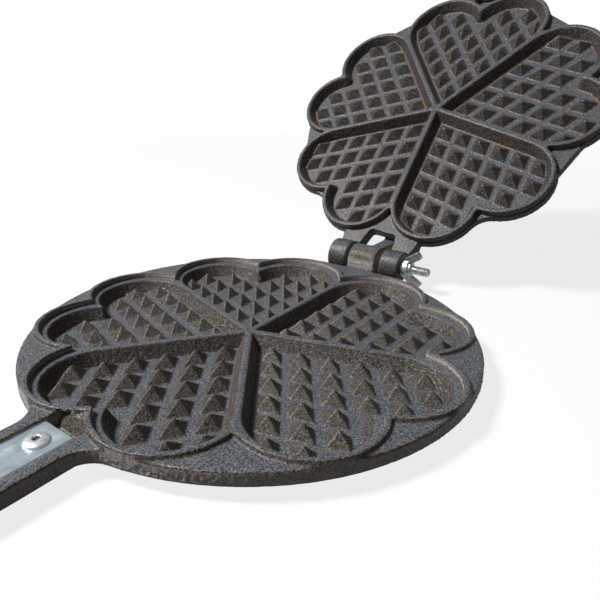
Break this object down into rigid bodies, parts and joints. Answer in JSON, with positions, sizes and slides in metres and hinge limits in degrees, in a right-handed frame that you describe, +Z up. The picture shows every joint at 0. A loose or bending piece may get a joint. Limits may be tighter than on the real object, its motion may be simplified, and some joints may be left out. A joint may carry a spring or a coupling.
{
  "type": "stovetop waffle iron",
  "caption": "Cast iron stovetop waffle iron with heart-shaped beds, standing open on its rear hinge, with a bolt and wing nut and two long steel handles with wooden grips.",
  "frame": {"origin": "middle of the lower plate, on the round pad of its underside that it stands on", "axes": "+Z up; +Y from the lower handle's end towards the hinge; +X along the hinge bolt, towards the wing nut"},
  "size_m": [0.21, 0.7547, 0.315],
  "materials": {
    "cast_iron": "seasoned sand casting, grainy satin",
    "zinc_steel": "rolled strip, blue zinc plated",
    "bright_zinc": "bright zinc plated",
    "rivet_steel": "broken rivet mandrel, dull",
    "aluminium": "satin",
    "grip_wood": "oiled hardwood"
  },
  "bodies": {
    "lower_iron": {"lower_plate": "cast_iron", "lower_handle_strip": "zinc_steel", "lower_arm_rivets": "aluminium", "lower_rivet_mandrels": "rivet_steel", "lower_grip_top": "grip_wood", "lower_grip_bottom": "grip_wood", "lower_grip_pins": "aluminium"},
    "upper_iron": {"upper_plate": "cast_iron", "upper_handle_strip": "zinc_steel", "upper_arm_rivets": "aluminium", "upper_rivet_mandrels": "rivet_steel", "upper_grip_inner": "grip_wood", "upper_grip_outer": "grip_wood", "upper_grip_pins": "aluminium", "hinge_bolt": "bright_zinc"},
    "washer": {"hinge_washer": "bright_zinc"},
    "nut": {"wing_nut": "bright_zinc"}
  },
  "joints": [
    {"name": "plate_hinge", "type": "hinge", "parent": "lower_iron", "child": "upper_iron", "pos_m": [0, 0.1162, 0.01436], "axis": [1, 0, 0], "range_deg": [0, 134.5]},
    {"name": "washer_slide", "type": "slide", "parent": "upper_iron", "child": "washer", "axis": [1, 0, 0], "range_m": [0, 0.012]},
    {"name": "wing_nut_spin", "type": "hinge", "parent": "washer", "child": "nut", "pos_m": [0.02424, 0.1162, 0.01436], "axis": [1, 0, 0], "range_deg": [0, 5400]}
  ],
  "couplings": [
    {"joint": "washer_slide", "follows": "wing_nut_spin", "m_per_rad": 0.00012732}
  ]
}
